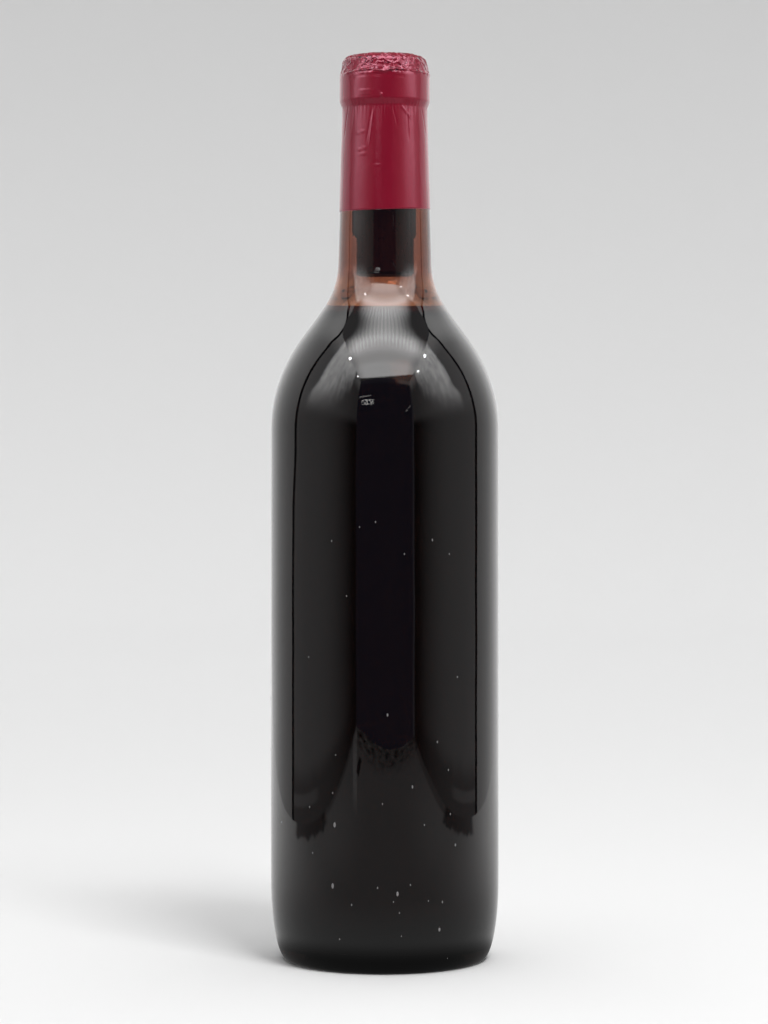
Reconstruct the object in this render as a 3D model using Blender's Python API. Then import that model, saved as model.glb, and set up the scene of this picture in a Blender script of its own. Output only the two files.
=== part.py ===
"""A full 75 cl wine bottle of the straight-sided, high-shouldered shape, stopped and capped.

Four pieces: the glass bottle, the wine in it, the cork in its bore and the foil capsule
pressed over the mouth, the ring and the upper neck. Every piece is turned about the
bottle's axis. The origin is the centre of the foot, on the surface the bottle stands on.
Lengths are in metres and angles in degrees.
"""

from math import cos, pi, radians, sin, tan

import bmesh
import bpy

SIDES = 48

# The outline that shows, foot to mouth
HEIGHT = 0.3000
BODY_RADIUS = 0.03800
HEEL_HEIGHT = 0.0265
HEEL_INSET = 0.0056
SHOULDER_START = 0.1756
SHOULDER_ARC = 0.0504
SHOULDER_SLOPE = 35.8
FLARE_ARC = 0.0270
NECK_RADIUS = 0.01570
NECK_TAPER = 1.75

# The ring and crown under the mouth, as they show with the foil on
RING_FOOT = 0.2826
RING_UNDERSIDE = 0.0021
RING_RADIUS = 0.01500
RING_TOP = 0.2932
CROWN_FOOT = 0.2952
CROWN_FOOT_RADIUS = 0.01452
CROWN_TOP_RADIUS = 0.01415
LIP_ARC = 0.0030

# The foil capsule
FOIL = 0.0003
GAP = 0.0003
CAPSULE_EDGE = 0.2486
CAPSULE_TILT = 1.6
CAPSULE_LEAN = 2.5
SEAT_TAPER = 0.0006
TILT_REACH = 0.0060

# Inside the glass
WALL = 0.0026
FOOT_WIDTH = 0.0053
PUNT_DEPTH = 0.0180
BASE_THICKNESS = 0.0055
INNER_HEEL_HEIGHT = 0.0120
INNER_HEEL_WIDTH = 0.0085
BORE_RADIUS = 0.00960
INNER_SHOULDER_DROP = 0.0030
INNER_FLARE_ARC = 0.0140
BORE_EDGE_ARC = 0.0008

# Wine and cork
WINE_LEVEL = 0.2146
CORK_FOOT = 0.2264
CORK_CHAMFER = 0.0004

FOOT_RADIUS = BODY_RADIUS - HEEL_INSET
PUNT_RADIUS = FOOT_RADIUS - FOOT_WIDTH
FOIL_AND_GAP = FOIL + GAP


def clear_scene():
    for item in list(bpy.data.objects):
        bpy.data.objects.remove(item, do_unlink=True)


def finish(name, colour, roughness, metallic=0.0, transmission=0.0):
    """A plain shader in the piece's own colour."""
    material = bpy.data.materials.new(name)
    material.use_nodes = True
    shader = material.node_tree.nodes["Principled BSDF"]
    shader.inputs["Base Color"].default_value = (*colour, 1.0)
    shader.inputs["Roughness"].default_value = roughness
    shader.inputs["Metallic"].default_value = metallic
    shader.inputs["Transmission Weight"].default_value = transmission
    return material


def arc(centre_r, centre_z, radius_r, radius_z, start, end, steps):
    """Points (r, z) of an ellipse's arc; the angle is measured from +r towards +z."""
    turns = [start + (end - start) * step / steps for step in range(steps + 1)]
    return [(centre_r + radius_r * cos(t), centre_z + radius_z * sin(t)) for t in turns]


def shoulder(body_radius, start, convex_arc, slope, concave_arc, neck_radius, taper, steps):
    """The shoulder from the body up to the neck: a convex arc, a slope and a concave arc.

    The slope touches both arcs, so its length follows from the two radii. The concave arc
    stops where it leans as the neck does.
    """
    drop = 1 - cos(slope)
    run = (body_radius - neck_radius - (convex_arc + concave_arc) * drop) / sin(slope)
    neck_start = start + (convex_arc + concave_arc) * sin(slope) + run * cos(slope)
    out = arc(body_radius - convex_arc, start, convex_arc, convex_arc, 0.0, slope, steps)
    back = arc(neck_radius + concave_arc, neck_start, -concave_arc, -concave_arc, slope, taper, steps)
    return out + back


def heel_outline():
    """The rounded heel, from the foot up to the body."""
    centre_r = BODY_RADIUS - HEEL_INSET
    return arc(centre_r, HEEL_HEIGHT, HEEL_INSET, HEEL_HEIGHT, -pi / 2, 0.0, 9)


def shoulder_outline():
    return shoulder(
        BODY_RADIUS,
        SHOULDER_START,
        SHOULDER_ARC,
        radians(SHOULDER_SLOPE),
        FLARE_ARC,
        NECK_RADIUS,
        radians(NECK_TAPER),
        8,
    )


def neck_radius_at(height):
    """The tapered neck's outer radius as it shows, foil and all."""
    neck_foot_r, neck_foot_z = shoulder_outline()[-1]
    return neck_foot_r - (height - neck_foot_z) * tan(radians(NECK_TAPER))


def mouth_outline(inset):
    """Neck, ring, crown and lip above the capsule's edge, bottom to top, drawn in by inset."""
    ring_foot_radius = neck_radius_at(RING_FOOT)
    top = HEIGHT - inset
    lip_centre_r = CROWN_TOP_RADIUS - inset - LIP_ARC
    lip = arc(lip_centre_r, top - LIP_ARC, LIP_ARC, LIP_ARC, 0.0, pi / 2, 4)
    return [
        (ring_foot_radius - inset, RING_FOOT),
        (RING_RADIUS - inset, RING_FOOT + RING_UNDERSIDE),
        (RING_RADIUS - inset, RING_TOP),
        (CROWN_FOOT_RADIUS - inset, CROWN_FOOT),
        *lip,
    ]


def punt_outline(radius, height, depth, steps):
    """The pushed-up base, from its rim to the axis, on a raised cosine of the radius."""
    radii = [radius * (steps - step) / steps for step in range(steps + 1)]
    return [(r, height + depth * (1 + cos(pi * r / radius)) / 2) for r in radii]


def inner_outline(inset):
    """The hollow's wall from the axis up to the bore, drawn in by inset."""
    radius = BODY_RADIUS - WALL
    rim = radius - INNER_HEEL_WIDTH
    floor = punt_outline(rim, BASE_THICKNESS + inset, PUNT_DEPTH, 8)[::-1]
    heel_top = BASE_THICKNESS + INNER_HEEL_HEIGHT
    heel = arc(
        rim,
        heel_top,
        INNER_HEEL_WIDTH - inset,
        INNER_HEEL_HEIGHT - inset,
        -pi / 2,
        0.0,
        6,
    )
    rise = shoulder(
        radius - inset,
        SHOULDER_START - INNER_SHOULDER_DROP,
        SHOULDER_ARC - WALL - inset,
        radians(SHOULDER_SLOPE),
        INNER_FLARE_ARC + inset,
        BORE_RADIUS - inset,
        0.0,
        7,
    )
    return floor + heel[1:] + rise


def turned(name, outline, material):
    """A closed body: the outline (r, z) carried once round the axis."""
    mesh = bpy.data.meshes.new(name)
    shape = bmesh.new()
    points = [shape.verts.new((r, 0.0, z)) for r, z in outline]
    edges = [shape.edges.new(pair) for pair in zip(points, points[1:])]
    bmesh.ops.spin(
        shape,
        geom=points + edges,
        cent=(0.0, 0.0, 0.0),
        axis=(0.0, 0.0, 1.0),
        angle=2 * pi,
        steps=SIDES,
        use_merge=True,
    )
    bmesh.ops.remove_doubles(shape, verts=shape.verts, dist=1e-6)
    bmesh.ops.recalc_face_normals(shape, faces=shape.faces)
    shape.to_mesh(mesh)
    shape.free()
    mesh.shade_smooth()
    mesh.set_sharp_from_angle(angle=radians(35))
    mesh.materials.append(material)
    piece = bpy.data.objects.new(name, mesh)
    bpy.context.scene.collection.objects.link(piece)
    return piece


def make_bottle():
    """The glass: one open-mouthed shell on a foot ring, with a pushed-up base."""
    inside = inner_outline(0.0)
    mouth_top = HEIGHT - FOIL_AND_GAP
    bore_edge = arc(
        BORE_RADIUS + BORE_EDGE_ARC,
        mouth_top - BORE_EDGE_ARC,
        BORE_EDGE_ARC,
        BORE_EDGE_ARC,
        pi,
        pi / 2,
        3,
    )
    edge_drop = RING_RADIUS * (tan(radians(CAPSULE_TILT)) + tan(radians(CAPSULE_LEAN)))
    seat_top = CAPSULE_EDGE - edge_drop - GAP
    seat_foot = seat_top - SEAT_TAPER
    seat = [
        (neck_radius_at(seat_top) - FOIL_AND_GAP, seat_top),
        (neck_radius_at(seat_foot), seat_foot),
    ]
    outside = mouth_outline(FOIL_AND_GAP)[::-1] + seat + shoulder_outline()[::-1]
    foot = heel_outline()[::-1] + punt_outline(PUNT_RADIUS, 0.0, PUNT_DEPTH, 8)
    glass = finish("bottle_glass", (0.22, 0.10, 0.05), 0.05, transmission=0.8)
    turned("bottle_glass", inside + bore_edge + outside + foot, glass)


def make_wine():
    """The wine: it fills the hollow up to its level in the flare of the neck."""
    wall = inner_outline(GAP)
    below = [point for point in wall if point[1] < WINE_LEVEL]
    above = wall[len(below)]
    share = (WINE_LEVEL - below[-1][1]) / (above[1] - below[-1][1])
    edge = below[-1][0] + share * (above[0] - below[-1][0])
    outline = [(0.0, WINE_LEVEL), (edge, WINE_LEVEL), *below[::-1]]
    turned("wine", outline, finish("wine", (0.03, 0.003, 0.005), 0.08))


def make_cork():
    """The cork: a plain cylinder with broken edges, level with the lip."""
    radius = BORE_RADIUS - GAP
    top = HEIGHT - FOIL_AND_GAP
    outline = [
        (0.0, top),
        (radius - CORK_CHAMFER, top),
        (radius, top - CORK_CHAMFER),
        (radius, CORK_FOOT + CORK_CHAMFER),
        (radius - CORK_CHAMFER, CORK_FOOT),
        (0.0, CORK_FOOT),
    ]
    turned("cork", outline, finish("cork", (0.42, 0.25, 0.14), 0.85))


def make_capsule():
    """The capsule: thin foil over the lip, ring and neck, its lower edge cut a little askew.

    The edge rises to the right by the tilt and to the back by the lean.
    """
    edge_radius = neck_radius_at(CAPSULE_EDGE)
    outside = [*mouth_outline(0.0)[::-1], (edge_radius, CAPSULE_EDGE)]
    inside = [(edge_radius - FOIL, CAPSULE_EDGE), *mouth_outline(FOIL)]
    outline = [(0.0, HEIGHT), *outside, *inside, (0.0, HEIGHT - FOIL)]
    foil = finish("capsule", (0.21, 0.012, 0.022), 0.35, metallic=0.4)
    capsule = turned("capsule", outline, foil)
    for vertex in capsule.data.vertices:
        if vertex.co.z < CAPSULE_EDGE + TILT_REACH:
            vertex.co.z += vertex.co.x * tan(radians(CAPSULE_TILT))
            vertex.co.z += vertex.co.y * tan(radians(CAPSULE_LEAN))


clear_scene()
make_bottle()
make_wine()
make_cork()
make_capsule()
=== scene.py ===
import math

import bpy
import numpy as np
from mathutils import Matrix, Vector, noise


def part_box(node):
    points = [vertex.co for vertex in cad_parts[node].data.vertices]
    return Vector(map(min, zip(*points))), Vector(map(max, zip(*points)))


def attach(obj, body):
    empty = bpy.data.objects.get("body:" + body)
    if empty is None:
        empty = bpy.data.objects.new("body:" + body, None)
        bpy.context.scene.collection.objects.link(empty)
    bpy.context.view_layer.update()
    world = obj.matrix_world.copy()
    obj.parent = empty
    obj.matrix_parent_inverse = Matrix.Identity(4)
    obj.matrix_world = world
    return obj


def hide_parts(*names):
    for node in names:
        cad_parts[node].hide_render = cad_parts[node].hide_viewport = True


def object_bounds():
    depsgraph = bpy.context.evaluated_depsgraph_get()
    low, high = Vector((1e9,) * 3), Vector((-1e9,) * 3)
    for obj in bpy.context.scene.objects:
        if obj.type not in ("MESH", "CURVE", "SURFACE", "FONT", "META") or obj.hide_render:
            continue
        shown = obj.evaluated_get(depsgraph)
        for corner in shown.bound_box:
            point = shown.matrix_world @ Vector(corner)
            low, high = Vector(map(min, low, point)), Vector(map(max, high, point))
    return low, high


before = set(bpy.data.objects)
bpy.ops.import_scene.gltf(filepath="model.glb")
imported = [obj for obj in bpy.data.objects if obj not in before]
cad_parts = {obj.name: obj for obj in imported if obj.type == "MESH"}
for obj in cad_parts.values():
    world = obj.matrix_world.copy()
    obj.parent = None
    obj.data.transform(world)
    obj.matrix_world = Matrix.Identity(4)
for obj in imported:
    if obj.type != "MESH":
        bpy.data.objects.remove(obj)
cad_low, cad_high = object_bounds()


# Where the bottle is seen from. The camera stands one metre in front of the bottle, level,
# with its lens a little above the bottle's middle, so the neck is seen from just below and
# the foot from just above.
PHOTO_SHORT_SIDE = 768
PHOTO_LONG_SIDE = 1024
PIXEL = 0.000333
AXIS_ROW = 957.3
AXIS_COLUMN = 384.3
EYE_ROW = 450.0
CAMERA_DISTANCE = 0.999
SENSOR = 36.0

eye_height = (AXIS_ROW - EYE_ROW) * PIXEL
camera_data = bpy.data.cameras.new("camera")
camera_data.sensor_width = SENSOR
camera_data.lens = SENSOR * CAMERA_DISTANCE / (PIXEL * PHOTO_LONG_SIDE)
camera_data.shift_x = (PHOTO_SHORT_SIDE / 2 - 0.5 - AXIS_COLUMN) / PHOTO_LONG_SIDE
camera_data.shift_y = (EYE_ROW - PHOTO_LONG_SIDE / 2) / PHOTO_LONG_SIDE
camera = bpy.data.objects.new("camera", camera_data)
camera.location = (0.0, -CAMERA_DISTANCE, eye_height)
camera.rotation_euler = (math.pi / 2, 0.0, 0.0)
bpy.context.scene.collection.objects.link(camera)
bpy.context.scene.camera = camera
bpy.context.scene.view_settings.view_transform = "Standard"


# The room. The bottle stands on a white table in a pale sweep that rises behind it without
# a corner; painted shade darkens the sweep's paint up the wall and round the middle of the
# floor. One large soft light hangs overhead and a smaller one stands to the right, which
# throws the soft shadow to the left.
TABLE_WIDTH = 0.78
TABLE_FRONT = 0.76
TABLE_BACK = 1.30
FLOOR_DROP = 0.0004
SWEEP_FLOOR = 1.70
SWEEP_CURVE = 0.90
SWEEP_TOP = 3.20
SWEEP_SIDES = 128
SHADE_REACH = (0.3, 2.1)
SHADE_CLIMB = 0.77
OVERHEAD_PLACE = (0.0, 0.2, 2.9)
OVERHEAD_SIZE = 3.0
OVERHEAD_WATTS = 65.5
RIGHT_PLACE = (0.40, -0.72, 1.40)
RIGHT_SIZE = 0.46
RIGHT_WATTS = 13.0


class Number:
    """A socket that carries a number. Arithmetic on it adds Math nodes to its material."""

    def __init__(self, finish, socket):
        self.finish = finish
        self.socket = socket

    def math(self, operation, *others, clamp=False):
        settings = {"operation": operation, "use_clamp": clamp}
        values = dict(enumerate((self, *others)))
        return self.finish.number("ShaderNodeMath", settings, values)

    def __add__(self, other):
        return self.math("ADD", other)

    __radd__ = __add__

    def __sub__(self, other):
        return self.math("SUBTRACT", other)

    def __rsub__(self, other):
        return self.math("MULTIPLY", -1.0).math("ADD", other)

    def __mul__(self, other):
        return self.math("MULTIPLY", other)

    __rmul__ = __mul__

    def __truediv__(self, other):
        return self.math("DIVIDE", other)

    def __pow__(self, other):
        return self.math("POWER", other)

    def __abs__(self):
        return self.math("ABSOLUTE")

    def held(self):
        """The same number, held between 0 and 1."""
        return self.math("MULTIPLY", 1.0, clamp=True)

    def between(self, low, high, soft=0.0):
        """1 inside the two limits and 0 outside, with soft edges of this width."""
        return self.step(low - soft, low) * (1.0 - self.step(high, high + soft))

    def step(self, start, end):
        """0 below start, 1 above end, and a smooth rise from one to the other."""
        settings = {"interpolation_type": "SMOOTHSTEP"}
        values = {"Value": self, "From Min": start, "From Max": end}
        return self.finish.number("ShaderNodeMapRange", settings, values)


class Nodes:
    """A node tree while it is being made. Every node is added by its method node."""

    def node(self, kind, settings=None, values=None):
        made = self.tree.nodes.new(kind)
        for name, setting in (settings or {}).items():
            setattr(made, name, setting)
        for key, value in (values or {}).items():
            value = getattr(value, "socket", value)
            if isinstance(value, bpy.types.NodeSocket):
                self.tree.links.new(value, made.inputs[key])
            else:
                made.inputs[key].default_value = value
        return made

    def number(self, kind, settings=None, values=None, output=0):
        return Number(self, self.node(kind, settings, values).outputs[output])

    def axes(self):
        """The place on the object as three numbers."""
        split = self.node("ShaderNodeSeparateXYZ", None, {0: self.place})
        return [Number(self, socket) for socket in split.outputs]

    def off_axis(self):
        """How far the place lies from the upright axis."""
        across, along, _ = self.axes()
        return (across * across + along * along) ** 0.5


class Finish(Nodes):
    """A material, with a few nodes that every finish uses."""

    def __init__(self, name):
        self.material = bpy.data.materials.new(name)
        self.material.use_nodes = True
        self.tree = self.material.node_tree
        self.tree.nodes.clear()
        self.place = self.node("ShaderNodeTexCoord").outputs["Object"]

    def noise(self, scale, stretch=(1.0, 1.0, 1.0), detail=3.0):
        """Soft noise of 0 to 1, with this many waves to the metre before it is stretched."""
        place = self.node("ShaderNodeMapping", None, {"Vector": self.place, "Scale": stretch})
        values = {"Vector": place.outputs[0], "Scale": scale, "Detail": detail}
        return self.number("ShaderNodeTexNoise", None, values)

    def mix(self, share, first, second):
        settings = {"data_type": "RGBA"}
        values = {"Factor": share, 6: first, 7: second}
        return self.node("ShaderNodeMix", settings, values).outputs[2]

    def bump(self, height, distance, strength=1.0):
        values = {"Height": height, "Distance": distance, "Strength": strength}
        return self.node("ShaderNodeBump", None, values).outputs[0]

    def shader(self, kind, values, settings=None):
        surface = self.node(kind, settings, values)
        output = self.node("ShaderNodeOutputMaterial")
        self.tree.links.new(surface.outputs[0], output.inputs["Surface"])
        return self.material


def add_object(name, points, faces, material, smooth=True):
    """A mesh object at the origin, with its place in its mesh."""
    mesh = bpy.data.meshes.new(name)
    mesh.from_pydata(points, [], faces)
    mesh.materials.append(material)
    if smooth:
        mesh.shade_smooth()
    mesh.update()
    made = bpy.data.objects.new(name, mesh)
    bpy.context.scene.collection.objects.link(made)
    return made


def turned_faces(rows, sides):
    """Quads between the rows of a turned grid, facing outwards where the rows go down."""
    row, side = np.meshgrid(np.arange(rows - 1), np.arange(sides), indexing="ij")
    after = (side + 1) % sides
    corners = (
        row * sides + side,
        (row + 1) * sides + side,
        (row + 1) * sides + after,
        row * sides + after,
    )
    return np.stack(corners, axis=-1).reshape(-1, 4)


def turned_points(radii, heights, sides):
    """Points of a turned grid from radii and heights of one row each, or of the whole grid."""
    turns = 2 * math.pi * np.arange(sides) / sides
    radii = np.broadcast_to(np.reshape(radii, (len(radii), -1)), (len(radii), sides))
    heights = np.broadcast_to(np.reshape(heights, (len(heights), -1)), radii.shape)
    across = radii * np.cos(turns)
    along = radii * np.sin(turns)
    return np.stack((across, along, heights), axis=-1).reshape(-1, 3)


def arc(centre_r, centre_z, radius_r, radius_z, start, end, steps):
    """Points (r, z) of an ellipse's arc; the angle is measured from +r towards +z."""
    turns = np.linspace(start, end, steps + 1)
    return [(centre_r + radius_r * np.cos(t), centre_z + radius_z * np.sin(t)) for t in turns]


def grey(shade):
    return (shade, shade, shade, 1.0)


def shaded_stage_paint(name, floor_shade, curve_shade, wall_shade):
    """Matt paint with painted shade: dark high on the wall, darker round the middle of the floor, palest
    where the floor begins to rise, with a trace of unevenness.
    """
    paint = Finish(name)
    uneven = (paint.noise(2.0) - 0.5) * 0.01
    # Painted shade: the floor darker round the middle, the wall darker as it climbs
    floor = paint.mix(paint.off_axis().step(*SHADE_REACH), grey(floor_shade), grey(curve_shade))
    climb = (paint.axes()[2] + uneven).held() ** SHADE_CLIMB
    colour = paint.mix(climb, floor, grey(wall_shade))
    return paint.shader("ShaderNodeBsdfDiffuse", {"Color": colour})


sweep_outline = [
    (0.02, -FLOOR_DROP),
    (TABLE_WIDTH, -FLOOR_DROP),
    *arc(
        SWEEP_FLOOR,
        SWEEP_CURVE - FLOOR_DROP,
        SWEEP_CURVE,
        SWEEP_CURVE,
        -math.pi / 2,
        0.0,
        24,
    ),
    (SWEEP_FLOOR + SWEEP_CURVE, SWEEP_TOP),
]
sweep_r, sweep_z = np.transpose(sweep_outline)
stage_white_shaded = shaded_stage_paint("sweep_painted_shade", floor_shade=0.768, curve_shade=0.957, wall_shade=0.633)
sweep = add_object(
    "sweep",
    turned_points(sweep_r, sweep_z, SWEEP_SIDES),
    turned_faces(len(sweep_outline), SWEEP_SIDES),
    stage_white_shaded,
)
sweep.visible_glossy = False

half_table = TABLE_WIDTH / 2
table_corners = [
    (-half_table, -TABLE_FRONT, 0.0),
    (half_table, -TABLE_FRONT, 0.0),
    (half_table, TABLE_BACK, 0.0),
    (-half_table, TABLE_BACK, 0.0),
]
table = add_object("table", table_corners, [(0, 1, 2, 3)], stage_white_shaded, smooth=False)
table.visible_glossy = False


def add_lamp(name, place, size, watts):
    """A square soft light that looks at the bottle and isn't seen itself."""
    lamp_data = bpy.data.lights.new(name, "AREA")
    lamp_data.size = size
    lamp_data.energy = watts
    made = bpy.data.objects.new(name, lamp_data)
    made.location = place
    aim = Vector((0.0, 0.0, 0.1)) - Vector(place)
    made.rotation_euler = aim.to_track_quat("-Z", "Y").to_euler()
    made.visible_camera = False
    made.visible_glossy = False
    bpy.context.scene.collection.objects.link(made)


add_lamp("overhead_light", OVERHEAD_PLACE, OVERHEAD_SIZE, OVERHEAD_WATTS)
add_lamp("right_light", RIGHT_PLACE, RIGHT_SIZE, RIGHT_WATTS)
room = bpy.data.worlds.new("room")
room.use_nodes = True
room.node_tree.nodes["Background"].inputs["Color"].default_value = grey(1.0)
room.node_tree.nodes["Background"].inputs["Strength"].default_value = 0.0
bpy.context.scene.world = room


# What the gloss shows. The bottle stands in a white light tent, a box that is open in front,
# with a lit roof. The walls are bright below the lamps, dim towards the opening, and a thin
# dark joint parts them from the back sheet. All of it is seen in reflections only.
TENT_LEFT = -0.41
TENT_RIGHT = 0.43
TENT_FRONT = -0.78
TENT_BACK = 1.30
TENT_TOP = 0.80
WALL_LIGHT = 0.41
LAMP_FALL = (-0.08, 0.38)
LAMP_REACH = (-0.53, -0.115)
LAMP_LIGHT = 3.3
LAMP_MOTTLE = (0.35, 1.3)
JOINT_HALF = 0.0105
FOOT_SHADE = (0.014, 0.030)
STRIP = (0.0085, 0.0125)
LEAK = 0.03
ROOF_LIGHT = 5.4
ROOF_SLANT = 0.11
ROOF_BOW = 0.50
ROOF_FRONT = -0.735
ROOF_END = (-0.25, -0.055)
ROOF_LOSS = 0.35
TUBE_PITCH = 0.038
TUBE_SWING = 0.12
CLIP_LIGHT = 40.0
# The four bright clips, each with its place and half its width
CLIPS = (
    (-0.404, -0.620, 0.770, 0.015),
    (0.424, -0.455, 0.723, 0.018),
    (-0.392, -0.306, 0.770, 0.017),
    (0.424, -0.216, 0.741, 0.022),
)
GROUND_LIGHT = 0.31
STREAK_TURNS = (-0.535, -0.480)
OPENING_LIGHT = 0.108
WINDOW_LIGHT = 6.5
RAIL_LIGHT = 2.0
GLINT_LIGHT = 1.6


def tent_part(name, corners, finish, light, colour=grey(1.0)):
    """A lit sheet of the tent that only reflections see."""
    glow = finish.shader("ShaderNodeEmission", {"Color": colour, "Strength": light})
    glow.cycles.emission_sampling = "NONE"
    faces = np.arange(len(corners)).reshape(-1, 4).tolist()
    part = add_object(name, corners, faces, glow, smooth=False)
    for ray in ("camera", "diffuse", "transmission", "shadow"):
        setattr(part, "visible_" + ray, False)


# Each wall's joint stands at one distance along it, and at another near the ground
for side, wall_x, joint, joint_foot, sheet_near, sheet_far in (
    ("left", TENT_LEFT, 0.052, 0.081, 0.62, 0.96),
    ("right", TENT_RIGHT, 0.080, 0.082, 0.67, 1.12),
):
    wall = Finish(side + "_wall_light")
    along, height = wall.axes()[1:]
    ragged = (wall.noise(14.0) - 0.5) * 0.14
    # The cloth in front of the joint, with painted shade along its foot on the ground and a pale strip in
    # that shade
    cloth = WALL_LIGHT * along.step(-0.72, -0.12)
    cloth = cloth + 0.24 * height.step(0.22, 0.32) + 0.70 * height.step(0.60, 0.76)
    strip = height.between(*STRIP, 0.002) * along.step(-0.20, -0.13)
    cloth_foot_shade = 1.0 - (height + ragged * 0.06).step(*FOOT_SHADE)
    cloth = cloth * (1.0 - 0.5 * cloth_foot_shade * (1.0 - 0.8 * strip))
    # The patch that a lamp lights through the cloth
    mottled = LAMP_MOTTLE[0] + LAMP_MOTTLE[1] * wall.noise(17.0, (1.0, 1.6, 0.8), 2.0)
    lamp = (along + height + ragged).step(*LAMP_FALL) * height.step(0.24, 0.44) * mottled
    lamp_end = LAMP_REACH[1] + 0.055 * (1.0 - height.step(0.31, 0.42))
    lamp = lamp * (along + ragged * 0.25).between(LAMP_REACH[0], lamp_end, 0.045)
    # The dark joint, and the bright sheet beyond it
    joint_at = joint_foot + (joint - joint_foot) * height.step(0.14, 0.17)
    beyond = (along - joint_at).step(JOINT_HALF, JOINT_HALF * 1.6)
    before = 1.0 - (along - joint_at).step(JOINT_HALF * -1.6, JOINT_HALF * -1.0)
    sheet = sheet_near + (sheet_far - sheet_near) * along.step(0.08, 0.60)
    sheet = sheet + 0.30 * height.step(0.15, 0.45) + 1.0 * height.step(0.55, 0.75)
    light = before * (cloth + lamp * LAMP_LIGHT) + beyond * sheet + LEAK
    corners = [
        (wall_x, TENT_FRONT, 0.0),
        (wall_x, TENT_BACK, 0.0),
        (wall_x, TENT_BACK, TENT_TOP),
        (wall_x, TENT_FRONT, TENT_TOP),
    ]
    tent_part(side + "_wall", corners, wall, light)

roof = Finish("roof_light")
across, along = roof.axes()[:2]
front_line = along - ROOF_FRONT - across * ROOF_SLANT - across * across * ROOF_BOW
lit = front_line.step(-0.03, 0.01) * (1.0 - along.step(*ROOF_END))
tubes = (across * (2 * math.pi / TUBE_PITCH)).math("SINE") * along.between(-0.27, -0.10, 0.05)
level = ROOF_LIGHT - 0.9 * along.between(-0.44, -0.40, 0.09) + 3.0 * along.step(-0.36, -0.20)
light = lit * level * (1.0 + TUBE_SWING * tubes) * (1.0 - ROOF_LOSS * abs(across).step(0.28, 0.41))
light = light + 0.35
corners = [
    (TENT_LEFT, TENT_FRONT, TENT_TOP),
    (TENT_RIGHT, TENT_FRONT, TENT_TOP),
    (TENT_RIGHT, TENT_BACK, TENT_TOP),
    (TENT_LEFT, TENT_BACK, TENT_TOP),
]
tent_part("roof", corners, roof, light)

clip = Finish("roof_clip_light")
corners = [
    (x + dx * half, y + dy * half, z)
    for x, y, z, half in CLIPS
    for dx, dy in ((-1, -1), (1, -1), (1, 1), (-1, 1))
]
tent_part("roof_clips", corners, clip, CLIP_LIGHT * (0.8 + 0.4 * clip.noise(50.0)))

ground = Finish("ground_light")
across, along = ground.axes()[:2]
away = abs(across)
mottle = ground.noise(34.0, (0.5, 1.0, 1.0), 5.0)
light = GROUND_LIGHT + 0.20 * away.step(0.08, 0.33) * along.step(-0.65, -0.15)
light = light + 0.60 * along.step(-0.18, 0.20)
# Painted shade in the ground's corners by the walls and along each wall's foot
corner_shade = (away + (mottle - 0.5) * 0.06).step(0.352, 0.372) * along.between(-0.22, 0.02, 0.03)
ground_wall_foot_shade = away.step(0.385, 0.400) * (1.0 - along.step(-0.22, -0.18))
light = light * (1.0 - 0.70 * corner_shade) * (1.0 - 0.4 * ground_wall_foot_shade)
near_front = 1.0 - along.step(-0.74, -0.60)
streak_turn = across.math("ARCTAN2", along * -1.0)
streak = streak_turn.between(*STREAK_TURNS, 0.012) * (1.0 - along.step(-0.50, -0.40)) * (0.2 + mottle)
light = light * (1.0 + near_front * ((mottle - 0.5) * 3.0 - 0.45)) + streak * 0.35
dash = across.between(-0.292, -0.268, 0.004) * along.between(-0.63, -0.56, 0.006)
# Painted contact shadow on the ground round the bottle's foot
foot_contact_shadow = 1.0 - ground.off_axis().step(0.038, 0.060)
light = light * (1.0 - dash * 0.9) * (1.0 - foot_contact_shadow * 0.75)
corners = [
    (TENT_LEFT, TENT_FRONT, 0.0),
    (TENT_RIGHT, TENT_FRONT, 0.0),
    (TENT_RIGHT, TENT_BACK, 0.0),
    (TENT_LEFT, TENT_BACK, 0.0),
]
tent_part("ground", corners, ground, light)

opening = Finish("opening_light")
across, _, height = opening.axes()
sparkle = opening.noise(46.0, (0.8, 1.0, 1.5), 4.0).step(0.44, 0.60)
rail = across.between(-0.39, -0.21, 0.01) * height.between(0.550, 0.562, 0.004)
window = (height + across * 0.10).between(0.428, 0.484, 0.010) * across.between(-0.325, -0.165, 0.02)
glint = (height - across * 0.85).between(0.108, 0.128, 0.006) * across.between(0.30, 0.395, 0.01)
flap = height.step(0.715, 0.755) * (0.07 + 0.42 * across.step(0.16, 0.26))
post = across.step(0.400, 0.408) * 0.13
shown = rail * RAIL_LIGHT + (window * WINDOW_LIGHT + glint * GLINT_LIGHT) * sparkle + flap + post
light = OPENING_LIGHT + shown
night = opening.mix((shown * 4.0).held(), (0.68, 0.66, 1.0, 1.0), grey(1.0))
corners = [
    (TENT_RIGHT, TENT_FRONT, -0.6),
    (TENT_LEFT, TENT_FRONT, -0.6),
    (TENT_LEFT, TENT_FRONT, TENT_TOP),
    (TENT_RIGHT, TENT_FRONT, TENT_TOP),
]
tent_part("opening", corners, opening, light, night)

sheet = Finish("back_sheet_light")
sheet_light = 1.0 + 0.06 * sheet.noise(3.0)
corners = [
    (TENT_LEFT, TENT_BACK, 0.0),
    (TENT_RIGHT, TENT_BACK, 0.0),
    (TENT_RIGHT, TENT_BACK, TENT_TOP),
    (TENT_LEFT, TENT_BACK, TENT_TOP),
]
tent_part("back_sheet", corners, sheet, sheet_light)


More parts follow.
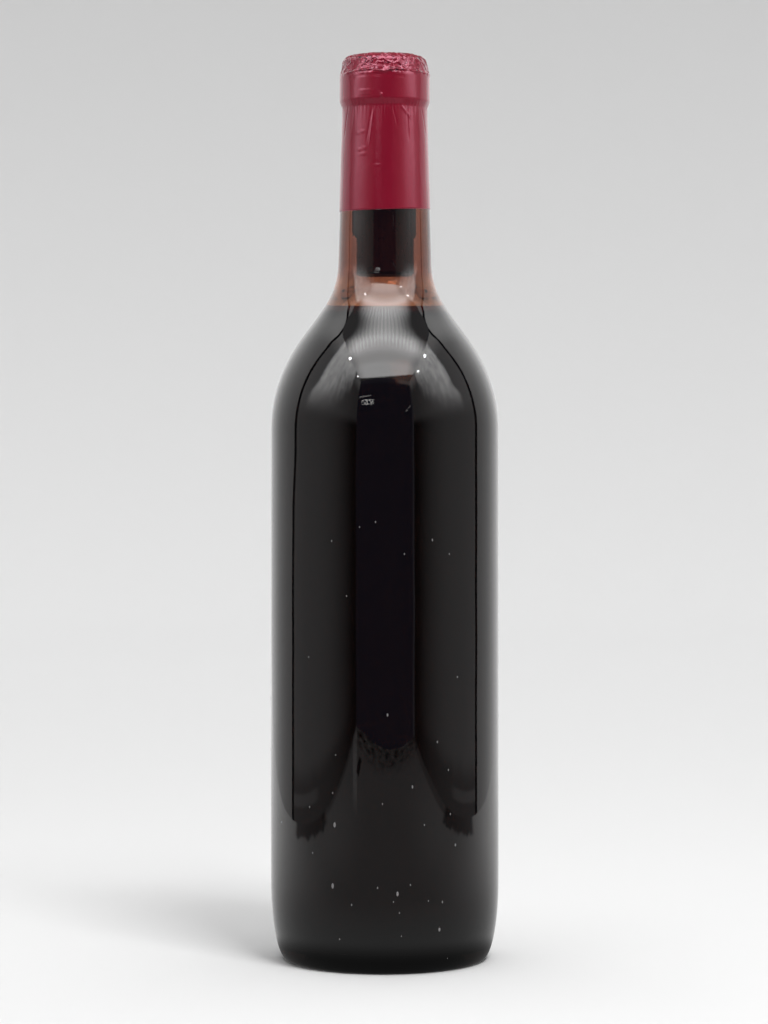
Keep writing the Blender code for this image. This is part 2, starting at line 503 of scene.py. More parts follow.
# The glass. One blown shell of amber-brown bottle glass with a rounded heel, a foot ring
# round a pushed-up base and thick walls in the neck, drawn in a little under the foil. Blown
# glass is never quite true: its skin carries shallow waves and a low ripple in the shoulder.
SKIN_STEP = 0.0015
GLASS_SIDES = 240
HEEL_HEIGHT = 0.0265
HEEL_INSET = 0.0056
SHOULDER_START = 0.1756
SHOULDER_ARC = 0.0504
SHOULDER_SLOPE = math.radians(35.8)
FLARE_ARC = 0.0270
NECK_RADIUS = 0.01570
NECK_TAPER = math.radians(1.75)
RING_FOOT = 0.2826
RING_UNDERSIDE = 0.0021
RING_RADIUS = 0.01500
RING_TOP = 0.2932
CROWN_FOOT = 0.2952
CROWN_FOOT_RADIUS = 0.01452
CROWN_TOP_RADIUS = 0.01415
LIP_ARC = 0.0030
WALL = 0.0026
FOOT_WIDTH = 0.0053
PUNT_DEPTH = 0.0180
BASE_THICKNESS = 0.0055
INNER_HEEL_HEIGHT = 0.0120
INNER_HEEL_WIDTH = 0.0085
INNER_SHOULDER_DROP = 0.0030
INNER_FLARE_ARC = 0.0140
BORE_SLACK = 0.0003
BORE_EDGE = 0.0008
UNDER_FOIL = 0.0005
FOIL_SEAT = 0.0020
SEAT_ROUNDING = 0.0001
EDGE_BAND = 0.0022
EDGE_REACH = 0.006
RIPPLE_HEIGHT = 0.2095
RIPPLE_LENGTH = 0.014
RIPPLE_HALF = 0.004
FLARE_TOP = 0.2228
FLARE_SPREAD = 0.52
FLARE_TINT_END = (0.2232, 0.2276)
BASE_TINT_END = (0.010, 0.024)
FOIL_SLANT = math.tan(math.radians(1.6))
FOIL_LEAN = math.tan(math.radians(2.5))

body_radius = cad_high.x
top_height = cad_high.z
foil_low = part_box("capsule")[0]
cork_low, cork_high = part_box("cork")
wine_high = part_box("wine")[1]
bore_radius = cork_high.x + BORE_SLACK
foil_edge = foil_low[2] + RING_RADIUS * math.hypot(FOIL_SLANT, FOIL_LEAN)


def shoulder(body, start, convex_arc, concave_arc, neck, taper):
    """The shoulder: a convex arc, a slope that touches both arcs, and a concave arc."""
    drop = 1 - math.cos(SHOULDER_SLOPE)
    run = (body - neck - (convex_arc + concave_arc) * drop) / math.sin(SHOULDER_SLOPE)
    rise = (convex_arc + concave_arc) * math.sin(SHOULDER_SLOPE)
    neck_start = start + rise + run * math.cos(SHOULDER_SLOPE)
    out = arc(body - convex_arc, start, convex_arc, convex_arc, 0.0, SHOULDER_SLOPE, 24)
    back = arc(neck + concave_arc, neck_start, -concave_arc, -concave_arc, SHOULDER_SLOPE, taper, 20)
    return out + back


shoulder_line = shoulder(body_radius, SHOULDER_START, SHOULDER_ARC, FLARE_ARC, NECK_RADIUS, NECK_TAPER)


def spaced(outline, step):
    """The outline with points added, so that none lie further apart than step."""
    points = [outline[0]]
    for (r1, z1), (r2, z2) in zip(outline, outline[1:]):
        count = max(1, math.ceil(math.hypot(r2 - r1, z2 - z1) / step))
        points += [(r1 + (r2 - r1) * i / count, z1 + (z2 - z1) * i / count) for i in range(1, count + 1)]
    return points


def punt(radius, height):
    """The pushed-up base from its rim to the axis, on a raised cosine of the radius."""
    radii = np.linspace(radius, 0.0, 25)
    return [(r, height + PUNT_DEPTH * (1 + math.cos(math.pi * r / radius)) / 2) for r in radii]


def neck_radius_at(height):
    foot_r, foot_z = shoulder_line[-1]
    return foot_r - (height - foot_z) * math.tan(NECK_TAPER)


def finish_outline(inset):
    """Ring, crown and lip, bottom to top, drawn in by inset."""
    lip_r = CROWN_TOP_RADIUS - inset - LIP_ARC
    lip = arc(lip_r, top_height - inset - LIP_ARC, LIP_ARC, LIP_ARC, 0.0, math.pi / 2, 8)
    return [
        (neck_radius_at(RING_FOOT) - inset, RING_FOOT),
        (RING_RADIUS - inset, RING_FOOT + RING_UNDERSIDE),
        (RING_RADIUS - inset, RING_TOP),
        (CROWN_FOOT_RADIUS - inset, CROWN_FOOT),
        *lip,
    ]


def inside_outline(outset):
    """The hollow from the axis up to the bore; outset moves it into the wall."""
    radius = body_radius - WALL
    rim = radius - INNER_HEEL_WIDTH
    floor = punt(rim, BASE_THICKNESS - outset)[::-1]
    heel_height = INNER_HEEL_HEIGHT + outset
    heel_width = INNER_HEEL_WIDTH + outset
    heel = arc(rim, BASE_THICKNESS + INNER_HEEL_HEIGHT, heel_width, heel_height, -math.pi / 2, 0.0, 12)
    rise = shoulder(
        radius + outset,
        SHOULDER_START - INNER_SHOULDER_DROP,
        SHOULDER_ARC - WALL + outset,
        INNER_FLARE_ARC - outset,
        bore_radius + outset,
        0.0,
    )
    return floor + heel[1:] + rise


class Shape(Nodes):
    """A geometry tree with named inputs, worked on a piece and then turned into plain mesh."""

    def __init__(self, name, inputs):
        self.tree = bpy.data.node_groups.new(name, "GeometryNodeTree")
        self.values = {}
        sides = self.tree.interface
        sides.new_socket("Geometry", in_out="INPUT", socket_type="NodeSocketGeometry")
        for label, value in inputs.items():
            kind = "NodeSocketInt" if isinstance(value, int) else "NodeSocketFloat"
            made = sides.new_socket(label, in_out="INPUT", socket_type=kind)
            self.values[made.identifier] = value
        sides.new_socket("Geometry", in_out="OUTPUT", socket_type="NodeSocketGeometry")
        self.given = self.node("NodeGroupInput").outputs
        self.place = self.node("GeometryNodeInputPosition").outputs[0]

    def input(self, label):
        return Number(self, self.given[label])

    def stored(self, name):
        kept = self.node("GeometryNodeInputNamedAttribute", {"data_type": "FLOAT"}, {"Name": name})
        return Number(self, next(socket for socket in kept.outputs if socket.enabled))

    def pushed_out(self, lift):
        """The given geometry with its points moved away from the axis by this much."""
        across, along, _ = self.axes()
        radius = self.off_axis().math("MAXIMUM", 1e-6)
        values = {0: across * lift / radius, 1: along * lift / radius}
        offset = self.node("ShaderNodeCombineXYZ", None, values)
        values = {"Geometry": self.given["Geometry"], "Offset": offset.outputs[0]}
        return self.node("GeometryNodeSetPosition", None, values).outputs[0]

    def work(self, piece, geometry, material):
        real = self.node("GeometryNodeRealizeInstances", None, {0: geometry})
        values = {"Geometry": real.outputs[0], "Material": material}
        painted = self.node("GeometryNodeSetMaterial", None, values)
        end = self.node("NodeGroupOutput", None, {0: painted.outputs[0]})
        end.is_active_output = True
        modifier = piece.modifiers.new(self.tree.name, "NODES")
        modifier.node_group = self.tree
        for identifier, value in self.values.items():
            modifier[identifier] = value
        made = piece.evaluated_get(bpy.context.evaluated_depsgraph_get())
        mesh = bpy.data.meshes.new_from_object(made)
        piece.modifiers.clear()
        piece.data = mesh
        mesh.shade_smooth()


def add_share(piece, name, shares):
    """Keeps one number for each point of the piece, under this name."""
    kept = piece.data.attributes.new(name, "FLOAT", "POINT")
    kept.data.foreach_set("value", np.asarray(shares, np.float32))


def close_ends(name, grid, sides, material):
    """A turned body from a grid whose first and last rows lie on the axis."""
    rows = len(grid) // sides
    faces = turned_faces(rows, sides).tolist()
    first, last = (rows - 1) * sides, rows * sides
    keep = np.concatenate(([0], np.arange(sides, first), [last - 1]))
    place = np.zeros(last, int)
    place[sides:first] = np.arange(1, first - sides + 1)
    place[first:last] = first - sides + 1
    joined = [[int(place[c]) for c in face] for face in faces]
    joined = [list(dict.fromkeys(face)) for face in joined]
    return add_object(name, grid[keep], joined, material)


glass_finish = Finish("amber_bottle_glass")
draw_lines = glass_finish.noise(60.0, (1.0, 1.0, 0.12), 4.0)
cloud = glass_finish.noise(14.0)
tint = glass_finish.mix(
    draw_lines * 0.5 + cloud * 0.5,
    (0.28, 0.085, 0.045, 1.0),
    (0.34, 0.120, 0.068, 1.0),
)
# Above the wine the tint lies on the outer skin alone: deep in the neck, clearer in the flare
height = glass_finish.axes()[2]
neck_lines = glass_finish.noise(330.0, (1.0, 1.0, 0.05), 2.0).step(0.36, 0.64)
neck_tint = glass_finish.mix(neck_lines, (0.140, 0.034, 0.018, 1.0), (0.225, 0.066, 0.036, 1.0))
neck_tint = glass_finish.mix(height.step(*FLARE_TINT_END), (0.40, 0.140, 0.060, 1.0), neck_tint)
skin_out = (FLARE_TOP - height).math("MAXIMUM", 0.0) * FLARE_SPREAD
outer_side = (glass_finish.off_axis() - skin_out).step(0.0120, 0.0138)
neck_tint = glass_finish.mix(outer_side, grey(1.0), neck_tint)
wine_top = float(wine_high[2])
tint = glass_finish.mix(height.step(wine_top, wine_top + 0.0006), tint, neck_tint)
# The tint is darkest low down, in the thick glass of the base and heel
tint = glass_finish.mix(height.step(*BASE_TINT_END), (0.030, 0.010, 0.007, 1.0), tint)
smudge = glass_finish.noise(26.0, (1.0, 1.0, 0.5), 5.0).step(0.56, 0.80)
glass = glass_finish.shader(
    "ShaderNodeBsdfPrincipled",
    {
        "Base Color": tint,
        "Roughness": smudge * 0.035,
        "IOR": 1.52,
        "Transmission Weight": 1.0,
        "Normal": glass_finish.bump(glass_finish.noise(240.0, (1.0, 1.0, 0.3)), 0.000004),
    },
)

seat_radius = neck_radius_at(foil_edge)
outside = [
    (bore_radius + BORE_EDGE, top_height - UNDER_FOIL),
    *finish_outline(UNDER_FOIL)[::-1],
    (seat_radius - UNDER_FOIL, foil_edge + FOIL_SEAT),
    (seat_radius - SEAT_ROUNDING * 2, foil_edge + SEAT_ROUNDING * 3),
    (seat_radius, foil_edge + SEAT_ROUNDING),
    (seat_radius, foil_edge - SEAT_ROUNDING),
    *shoulder_line[::-1],
    *arc(body_radius - HEEL_INSET, HEEL_HEIGHT, HEEL_INSET, HEEL_HEIGHT, 0.0, -math.pi / 2, 18),
]
outside = spaced(outside, SKIN_STEP)
punt_rim = body_radius - HEEL_INSET - FOOT_WIDTH
under = spaced([outside[-1], *punt(punt_rim, 0.0)], 0.003)[1:]
inside = spaced(inside_outline(0.0), 0.004)
glass_outline = inside + [(bore_radius, top_height - UNDER_FOIL - BORE_EDGE)] + outside + under
glass_r, glass_z = np.transpose(glass_outline)
glass_grid = turned_points(glass_r, glass_z, GLASS_SIDES)
skin = slice((len(inside) + 1) * GLASS_SIDES, (len(inside) + 1 + len(outside)) * GLASS_SIDES)
# By the foil's edge the rows of points slant as the edge does
by_edge = np.clip(1 - (np.abs(glass_grid[:, 2] - foil_edge) - EDGE_BAND) / EDGE_REACH, 0.0, 1.0)
by_edge[: skin.start] = 0.0
glass_grid[:, 2] += (glass_grid[:, 0] * FOIL_SLANT + glass_grid[:, 1] * FOIL_LEAN) * by_edge
skin_share = np.zeros(len(glass_grid))
skin_share[skin] = np.clip(glass_grid[skin, 2] / HEEL_HEIGHT, 0.0, 1.0)
bottle = close_ends("bottle", glass_grid, GLASS_SIDES, glass)
add_share(bottle, "skin", skin_share[GLASS_SIDES - 1 : 1 - GLASS_SIDES])

blown = Shape(
    "blown_skin",
    {
        "Slow wave": 0.000030,
        "Quick wave": 0.000016,
        "Drawn line": 0.0000022,
        "Shoulder ripple": 0.00009,
        "Set back": 0.00010,
    },
)
across, along, height = blown.axes()
turn = across.math("ARCTAN2", along * -1.0)
slow = (turn * 3.0 + height * 38.0 + 0.6).math("SINE") * (height * 52.0 + 1.9).math("SINE")
quick = (turn * 7.0 - height * 61.0 + 2.1).math("SINE") * (height * 96.0 - 0.4).math("SINE")
drawn = (turn * 41.0 + (height * 22.0).math("SINE") * 1.3).math("SINE")
ripple = ((height - RIPPLE_HEIGHT) * (2 * math.pi / RIPPLE_LENGTH)).math("SINE")
ripple = ripple * height.between(RIPPLE_HEIGHT - RIPPLE_HALF, RIPPLE_HEIGHT + RIPPLE_HALF, RIPPLE_HALF)
wave = blown.input("Slow wave") * slow + blown.input("Quick wave") * quick
wave = wave + blown.input("Drawn line") * drawn - blown.input("Shoulder ripple") * ripple
wave = (wave - blown.input("Set back")) * blown.stored("skin")
blown.work(bottle, blown.pushed_out(wave), glass)
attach(bottle, "root")
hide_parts("bottle_glass")


# The seeds. Small gas bubbles that the glass has drawn out upright lie just under its skin
# and show as pale grains; their pale grey is a painted highlight, the light the bubbles catch.
# Those in front are listed by the column and row of the photo where they show and by their
# size. Over the back a few more are strewn evenly.
SEED_WIDTH = 0.00042
SEED_LENGTH = 0.00085
SEED_DEPTH = 0.00007
SEED_SINK = 0.00008
BEHIND_SIDES = 72
BEHIND_TURNS = (85, 275)
BEHIND_HEIGHTS = (0.030, 0.165)
SEEDS = (
    (334, 825, 1.0), (332, 886, 1.0), (397, 894, 0.9), (439, 929, 1.0), (387, 715, 0.6), (432, 540, 0.5),
    (455, 845, 0.6), (412, 787, 0.6), (449, 554, 0.4), (404, 554, 0.4), (339, 939, 0.5), (442, 902, 0.5),
    (377, 888, 0.45), (351, 905, 0.45), (399, 913, 0.4), (312, 853, 0.4), (309, 807, 0.4), (332, 793, 0.4),
    (424, 825, 0.4), (450, 814, 0.4), (448, 770, 0.45), (437, 742, 0.45), (375, 522, 0.4), (359, 527, 0.35),
    (331, 541, 0.35), (346, 596, 0.35), (308, 657, 0.35), (457, 677, 0.4), (401, 936, 0.4), (447, 958, 0.4),
    (410, 885, 0.35), (428, 901, 0.35), (393, 902, 0.35), (382, 804, 0.3), (335, 755, 0.3), (281, 822, 0.5),
)

side_line = np.array(outside[::-1])


def on_skin(column, row):
    """The place on the outer skin that shows at this column and row of the photo."""
    x = z = near = 0.0
    for _ in range(12):
        share = 1.0 - near / CAMERA_DISTANCE
        x = (column - AXIS_COLUMN) * PIXEL * share
        z = eye_height + (EYE_ROW - row) * PIXEL * share
        radius = float(np.interp(z, side_line[:, 1], side_line[:, 0]))
        near = math.sqrt(max(0.0, radius * radius - x * x))
    return (x, -near, z)


seed_finish = Finish("gas_seed")
# Painted highlight: the seeds' pale grey stands for the light that the bubbles catch
seed_highlight_tone = seed_finish.mix(seed_finish.noise(700.0), (0.15, 0.145, 0.15, 1.0), (0.30, 0.29, 0.29, 1.0))
seed_rough = 0.25 + seed_finish.noise(300.0) * 0.2
seed_look = seed_finish.shader(
    "ShaderNodeBsdfPrincipled",
    {"Base Color": seed_highlight_tone, "Roughness": seed_rough},
)
seed_places = [on_skin(column, row) for column, row, _ in SEEDS]
behind = [
    (body_radius * math.sin(a), -body_radius * math.cos(a), z)
    for z in BEHIND_HEIGHTS
    for a in np.radians(np.linspace(*BEHIND_TURNS, BEHIND_SIDES + 1))
]
first = len(seed_places)
behind_faces = [
    (first + i, first + i + 1, first + BEHIND_SIDES + 2 + i, first + BEHIND_SIDES + 1 + i)
    for i in range(BEHIND_SIDES)
]
seeds = add_object("seeds", seed_places + behind, behind_faces, seed_look)
add_share(seeds, "size", [seed[2] for seed in SEEDS] + [0.0] * len(behind))

scatter = Shape(
    "scattered_seeds",
    {"Seeds to the square metre": 1800.0, "Smallest": 0.3, "Largest": 0.9, "Pattern": 11},
)
placed = scatter.node(
    "GeometryNodeMeshToPoints",
    {"mode": "VERTICES"},
    {"Mesh": scatter.given["Geometry"], "Selection": scatter.stored("size")},
)
spread = scatter.node(
    "GeometryNodeDistributePointsOnFaces",
    {"distribute_method": "RANDOM"},
    {
        "Mesh": scatter.given["Geometry"],
        "Density": scatter.input("Seeds to the square metre"),
        "Seed": scatter.input("Pattern"),
    },
)
any_size = scatter.node(
    "FunctionNodeRandomValue",
    {"data_type": "FLOAT"},
    {2: scatter.input("Smallest"), 3: scatter.input("Largest"), "Seed": scatter.input("Pattern")},
)
sized = scatter.node(
    "GeometryNodeStoreNamedAttribute",
    {"data_type": "FLOAT", "domain": "POINT"},
    {"Geometry": spread.outputs["Points"], "Name": "size", "Value": any_size.outputs[1]},
)
joined = scatter.node("GeometryNodeJoinGeometry")
for points in (placed.outputs[0], sized.outputs[0]):
    scatter.tree.links.new(points, joined.inputs[0])
outwards = scatter.node(
    "ShaderNodeVectorMath",
    {"operation": "MULTIPLY"},
    {0: scatter.place, 1: (1.0, 1.0, 0.0)},
)
facing = scatter.node(
    "FunctionNodeAlignRotationToVector",
    {"axis": "X", "pivot_axis": "Z"},
    {"Vector": outwards.outputs[0]},
)
grain = scatter.node("GeometryNodeMeshUVSphere", None, {"Segments": 8, "Rings": 6, "Radius": 1.0})
stretch = scatter.node(
    "ShaderNodeCombineXYZ",
    None,
    {0: SEED_DEPTH, 1: scatter.stored("size") * SEED_WIDTH, 2: scatter.stored("size") * SEED_LENGTH},
)
grains = scatter.node(
    "GeometryNodeInstanceOnPoints",
    None,
    {
        "Points": joined.outputs[0],
        "Instance": grain.outputs["Mesh"],
        "Rotation": facing.outputs[0],
        "Scale": stretch.outputs[0],
    },
)
scatter.work(seeds, grains.outputs[0], seed_look)
sunk = np.empty(len(seeds.data.vertices) * 3)
seeds.data.vertices.foreach_get("co", sunk)
sunk = sunk.reshape(-1, 3)
sunk[:, :2] *= 1 - SEED_SINK / np.hypot(sunk[:, 0], sunk[:, 1])[:, None]
seeds.data.vertices.foreach_set("co", sunk.ravel())
seeds.data.update()
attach(seeds, "root")


# The wine. It fills the hollow up to the flare of the neck, with a thin rim drawn up the
# glass. Seventy millimetres of old red wine let no light through, and only its rim glows red.
WINE_SIDES = 160
INTO_WALL = 0.0003
MENISCUS = 0.0005
MENISCUS_REACH = 0.0010
RIM_DEPTH = 0.0030

wine_finish = Finish("red_wine")
depth = float(wine_high[2]) + MENISCUS - wine_finish.axes()[2]
rim_glow = 1.0 - depth.step(0.0, RIM_DEPTH)
deep = wine_finish.mix(wine_finish.noise(18.0), (0.0044, 0.0058, 0.0150, 1.0), (0.0056, 0.0066, 0.0170, 1.0))
wine_red = wine_finish.mix(rim_glow, deep, (0.10, 0.006, 0.004, 1.0))
wine_look = wine_finish.shader(
    "ShaderNodeBsdfPrincipled",
    {
        "Base Color": wine_red,
        "Roughness": 0.10 + wine_finish.noise(40.0) * 0.04,
        "IOR": 1.33,
        "Specular IOR Level": 0.15,
    },
)
hollow = inside_outline(INTO_WALL)
wall_line = spaced([point for point in hollow if point[1] < wine_high[2]], 0.004)
shoulder_r, shoulder_z = np.transpose([point for point in hollow if point[1] > SHOULDER_START])
edge_radius = float(np.interp(wine_high[2] + MENISCUS, shoulder_z, shoulder_r))
top = [
    (edge_radius - inwards, wine_high[2] + MENISCUS * math.exp(-inwards / MENISCUS_REACH))
    for inwards in np.linspace(0.0, MENISCUS_REACH * 4.4, 14)
]
top += [(top[-1][0] * share, wine_high[2]) for share in (0.8, 0.6, 0.4, 0.2, 0.0)]
wine_r, wine_z = np.transpose((wall_line + top)[::-1])
wine = close_ends("wine_fill", turned_points(wine_r, wine_z, WINE_SIDES), WINE_SIDES, wine_look)
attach(wine, "root")
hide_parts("wine")


# The cork. Punched from bark, with fine pits and darker growth bands, pressed into the bore
# level with the lip. Its foot has stood in wine and is stained. Its lower part is painted dark,
# partly wine soaked into the bark and partly painted shade, the shade it stands in down the
# dark neck. Wine that has crept up beside it wets it against the glass in front and behind,
# and it stands dry at the two sides.
CORK_SIDES = 180
STAIN_HEIGHT = 0.0022
DRY_GAP = 0.0001
WET_REACH = 0.0002
WET_DEPTH = 0.00025
CREEP_FOOT = 0.2385
CREEP_TOP = 0.2405
DRY_LEFT = (51, 65)
DRY_RIGHT = (55, 62)
CORK_CHAMFER = 0.0004
PIT_WAVES = 700.0
PIT_DEPTH = 0.012

cork_finish = Finish("natural_cork")
bands = cork_finish.noise(120.0, (1.0, 0.25, 0.4), 4.0)
pits = cork_finish.noise(900.0, (1.0, 1.0, 0.6), 2.0).step(0.62, 0.70)
bark = cork_finish.mix(bands, (0.30, 0.17, 0.09, 1.0), (0.50, 0.32, 0.19, 1.0))
bark = cork_finish.mix(pits, bark, (0.07, 0.03, 0.018, 1.0))
above_foot = cork_finish.axes()[2] - float(cork_low[2])
stain = 1.0 - (above_foot + cork_finish.noise(300.0) * 0.0015).step(STAIN_HEIGHT * 0.6, STAIN_HEIGHT)
# Painted shade and soaked-in wine together darken the lower part of the cork
soaked_and_shaded = 1.0 - (above_foot + cork_finish.noise(200.0) * 0.003).step(0.024, 0.030)
bark = cork_finish.mix(soaked_and_shaded * 0.94, bark, (0.048, 0.018, 0.042, 1.0))
bark = cork_finish.mix(stain, bark, (0.010, 0.002, 0.002, 1.0))
cork_look = cork_finish.shader(
    "ShaderNodeBsdfPrincipled",
    {
        "Base Color": bark,
        "Roughness": 0.75 + bands * 0.2,
        "Normal": cork_finish.bump(bands + pits * -0.8, 0.0002),
    },
)
cork_radius = bore_radius - DRY_GAP
cork_side = [
    (0.0, cork_high.z),
    (cork_radius - CORK_CHAMFER, cork_high.z),
    (cork_radius, cork_high.z - CORK_CHAMFER),
    (cork_radius, cork_low.z + CORK_CHAMFER),
    (cork_radius - CORK_CHAMFER, cork_low.z),
    (0.0, cork_low.z),
]
cork_r, cork_z = np.transpose(spaced(cork_side, 0.0008))
cork_grid = turned_points(cork_r, cork_z, CORK_SIDES)
for point in cork_grid:
    pit = noise.noise(Vector(point) * PIT_WAVES)
    point[:2] *= 1 - PIT_DEPTH * max(0.0, pit - 0.25)
# The wet parts reach this far round from the front, and from the back, and widen with height
cork_turn = np.degrees(np.arctan2(cork_grid[:, 0], np.abs(cork_grid[:, 1])))
wet_left = np.interp(cork_grid[:, 2], (CREEP_FOOT, CREEP_TOP), DRY_LEFT)
wet_right = np.interp(cork_grid[:, 2], (CREEP_FOOT, CREEP_TOP), DRY_RIGHT)
wet = (cork_turn > -wet_left) & (cork_turn < wet_right)
wet &= np.hypot(cork_grid[:, 0], cork_grid[:, 1]) > cork_radius - WET_DEPTH
cork_grid[wet, :2] *= (bore_radius + WET_REACH) / cork_radius
cork = close_ends("bark_cork", cork_grid, CORK_SIDES, cork_look)
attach(cork, "root")
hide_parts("cork")


# The capsule. A cup of thin lacquered foil, spun down over the lip, the ring and the neck.
# Its crown is crumpled, with painted shade in the valleys between its folds, fine pleats gather under the
# ring, and its lower edge is cut askew.
FOIL = 0.00015
FOIL_SIDES = 400
CROWN_STEP = 0.0002
FOIL_STEP = 0.0005
GATHER_TOP = 0.2838
GATHER_LENGTH = 0.0026
GATHER_DEPTH = 0.00009
PLEATS = 74
LARGE_FOLD = 0.00028
SMALL_FOLD = 0.00011
CRUMPLE_DEPTH = 0.00026
UNEVEN_CROWN = 0.00016
UNEVEN_SIDE = 0.00005
SLANT_REACH = 0.008
FOIL_COLUMN = 385.7
PIMPLE = (382.5, 94.5)
PIMPLE_HEIGHT = 0.00045
PIMPLE_WIDTH = 0.00040
# Each crease runs between two places, the column and row of the photo, with its width and
# its height, which is negative in a valley. The first six are one wavy ridge on the crown.
CREASES = (
    ((345, 74), (358, 70), 0.00032, 0.00030),
    ((358, 70), (372, 68.5), 0.00034, 0.00042),
    ((372, 68.5), (385, 70.5), 0.00036, 0.00046),
    ((385, 70.5), (396, 68), 0.00036, 0.00046),
    ((396, 68), (408, 69.5), 0.00036, 0.00044),
    ((408, 69.5), (431, 76), 0.00034, 0.00030),
    ((350, 78), (368, 74), 0.00020, -0.00016),
    ((368, 74), (405, 76), 0.00020, -0.00018),
    ((360, 91), (375, 89.5), 0.00022, 0.00016),
    ((360, 94), (373, 93), 0.00022, 0.00012),
    ((375, 106), (370, 145), 0.00020, 0.00017),
    ((373, 107), (367, 142), 0.00020, -0.00012),
    ((394, 106), (398, 124), 0.00022, -0.00012),
    ((401, 104), (412, 118), 0.00022, 0.00014),
    ((408, 106), (410, 140), 0.00022, -0.00012),
    ((357, 133), (366, 131), 0.00020, 0.00014),
    ((358, 150), (368, 147), 0.00020, 0.00012),
    ((358, 155), (368, 153), 0.00020, 0.00010),
    ((347, 106), (345, 138), 0.00022, -0.00016),
    ((424, 106), (427, 135), 0.00020, -0.00012),
    ((368, 166), (395, 164), 0.00018, 0.00006),
    ((355, 108), (352, 128), 0.00020, -0.00012),
)


def photo_turn(column, row):
    """The turn about the axis, front at 0 and right positive, and the height of a photo place."""
    turn = z = 0.0
    for _ in range(6):
        share = 1.0 - RING_RADIUS * math.cos(turn) / CAMERA_DISTANCE
        z = eye_height + (EYE_ROW - row) * PIXEL * share
        r = RING_RADIUS if z > RING_FOOT else neck_radius_at(z)
        turn = math.asin(max(-1.0, min(1.0, (column - FOIL_COLUMN) * PIXEL * share / r)))
    return turn, z


def crease(points, start, end, width, height):
    """A ridge, or a valley where height is negative, along a line between two photo places."""
    turn = np.arctan2(points[:, 0], -points[:, 1])
    u, v = turn * RING_RADIUS, points[:, 2]
    (a1, z1), (a2, z2) = photo_turn(*start), photo_turn(*end)
    u1, u2 = a1 * RING_RADIUS, a2 * RING_RADIUS
    length = math.hypot(u2 - u1, z2 - z1)
    along_u, along_v = (u2 - u1) / length, (z2 - z1) / length
    run = np.clip((u - u1) * along_u + (v - z1) * along_v, 0.0, length)
    away = np.hypot(u - u1 - run * along_u, v - z1 - run * along_v)
    ends = np.minimum(run, length - run) / length
    return height * np.exp(-((away / width) ** 2)) * np.clip(0.35 + 3 * ends, 0.0, 1.0)


def folds_at(place):
    """How high the sharp folds of crumpled foil stand at a place, which is in millimetres."""
    near, far = noise.voronoi(place * 0.42)[0][:2]
    small_near, small_far = noise.voronoi(place * 0.9 + Vector((7.0, 3.0, 1.0)))[0][:2]
    large = LARGE_FOLD * math.exp(-(far - near) * 9.0)
    return large + SMALL_FOLD * math.exp(-(small_far - small_near) * 7.0)


foil_finish = Finish("wine_red_foil")
lacquer = foil_finish.noise(90.0, (1.0, 1.0, 0.35), 4.0)
rub = foil_finish.noise(420.0, (1.0, 1.0, 0.5), 3.0)
foil_height = foil_finish.axes()[2]
red = foil_finish.mix(lacquer, (0.165, 0.0025, 0.0120, 1.0), (0.215, 0.0040, 0.0180, 1.0))
# Painted shade: the foil is darkened where the crown's folds leave valleys
painted_valley_shade = foil_finish.number("ShaderNodeAttribute", {"attribute_name": "valley"}, output="Fac")
red = foil_finish.mix(painted_valley_shade, red, (0.030, 0.0010, 0.0040, 1.0))
foil_look = foil_finish.shader(
    "ShaderNodeBsdfPrincipled",
    {
        "Base Color": red,
        "Roughness": 0.15 + rub * 0.10 - 0.04 * foil_height.step(0.2925, 0.2945),
        "IOR": 1.80,
        "Specular Tint": (1.0, 0.46, 0.60, 1.0),
        "Normal": foil_finish.bump(rub, 0.00006),
    },
)
crown_out = spaced([(0.0, top_height), *finish_outline(0.0)[:1:-1]], CROWN_STEP)
neck_out = [*finish_outline(0.0)[2::-1], (neck_radius_at(foil_edge), foil_edge)]
foil_out = crown_out + spaced(neck_out, FOIL_STEP)[1:]
foil_in = [(neck_radius_at(foil_edge) - FOIL, foil_edge), *finish_outline(FOIL)]
foil_in = spaced([*foil_in, (0.0, top_height - FOIL)], 0.0030)
foil_r, foil_z = np.transpose(foil_out + foil_in)
foil_grid = turned_points(foil_r, foil_z, FOIL_SIDES)
outer = foil_grid[: len(foil_out) * FOIL_SIDES]
turn = np.arctan2(outer[:, 0], -outer[:, 1])
lift = np.zeros(len(outer))
valley = np.zeros(len(foil_grid))
for start, end, width, height in CREASES:
    lift += crease(outer, start, end, width, height)
pimple_turn, pimple_z = photo_turn(*PIMPLE)
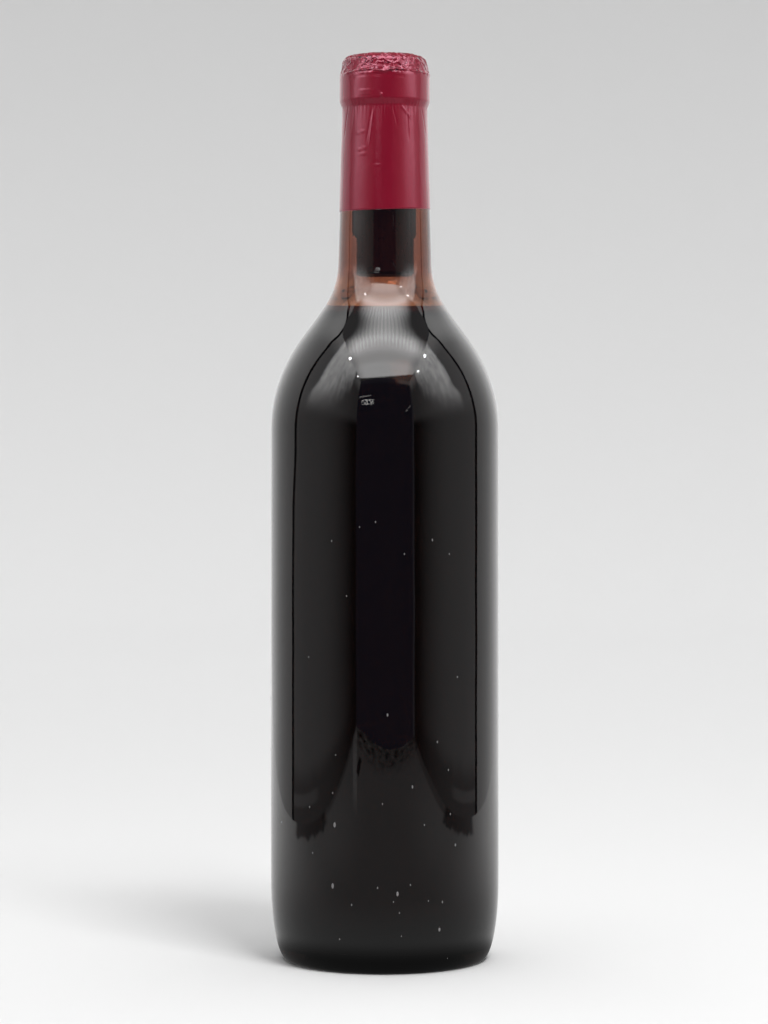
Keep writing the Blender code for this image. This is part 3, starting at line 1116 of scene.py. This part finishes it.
away = np.hypot((turn - pimple_turn) * RING_RADIUS, outer[:, 2] - pimple_z)
lift += PIMPLE_HEIGHT * np.exp(-((away / PIMPLE_WIDTH) ** 2))
below_ring = (GATHER_TOP - outer[:, 2]) / GATHER_LENGTH
gather = np.clip(below_ring + 0.35, 0.0, 1.0) * np.exp(-np.clip(below_ring, 0.0, 9.0))
pleat = np.sin(PLEATS * turn + 2.5 * np.sin(5 * turn)) * (0.6 + 0.4 * np.sin(9 * turn + 1.0))
lift += GATHER_DEPTH * gather * pleat
# valley keeps how much painted shade lies between the crown's folds
crown_share = np.clip((outer[:, 2] - RING_TOP + 0.0004) / 0.0012, 0.0, 1.0)
for index in np.nonzero(crown_share > 0)[0]:
    place = Vector(outer[index]) * 1000.0
    folds = folds_at(place)
    lift[index] += crown_share[index] * (folds - CRUMPLE_DEPTH + UNEVEN_CROWN * noise.noise(place * 0.7))
    patch = noise.noise(place * 0.40 + Vector((3.0, 9.0, 4.0)))
    valley[index] = crown_share[index] * max(0.0, 0.95 - folds * 7000.0 + 1.3 * patch)
for index in np.nonzero(crown_share <= 0)[0]:
    lift[index] += UNEVEN_SIDE * noise.noise(Vector(outer[index]) * Vector((220.0, 220.0, 90.0)))
# The side is moved outwards, and the flat top is only pressed down
foil_radius = np.hypot(outer[:, 0], outer[:, 1])
side_lift = np.where(foil_radius > 0.0118, lift, 0.0)
outer[:, :2] *= (1 + side_lift / np.maximum(foil_radius, 1e-6))[:, None]
outer[:, 2] += np.where(foil_radius < 0.0136, np.minimum(lift, 0.0), 0.0)
slant = np.clip((foil_edge + SLANT_REACH - foil_grid[:, 2]) / SLANT_REACH, 0.0, 1.0)
foil_grid[:, 2] += (foil_grid[:, 0] * FOIL_SLANT + foil_grid[:, 1] * FOIL_LEAN) * slant
capsule = close_ends("foil_capsule", foil_grid, FOIL_SIDES, foil_look)
add_share(capsule, "valley", np.clip(valley[FOIL_SIDES - 1 : 1 - FOIL_SIDES], 0.0, 1.0))
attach(capsule, "root")
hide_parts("capsule")
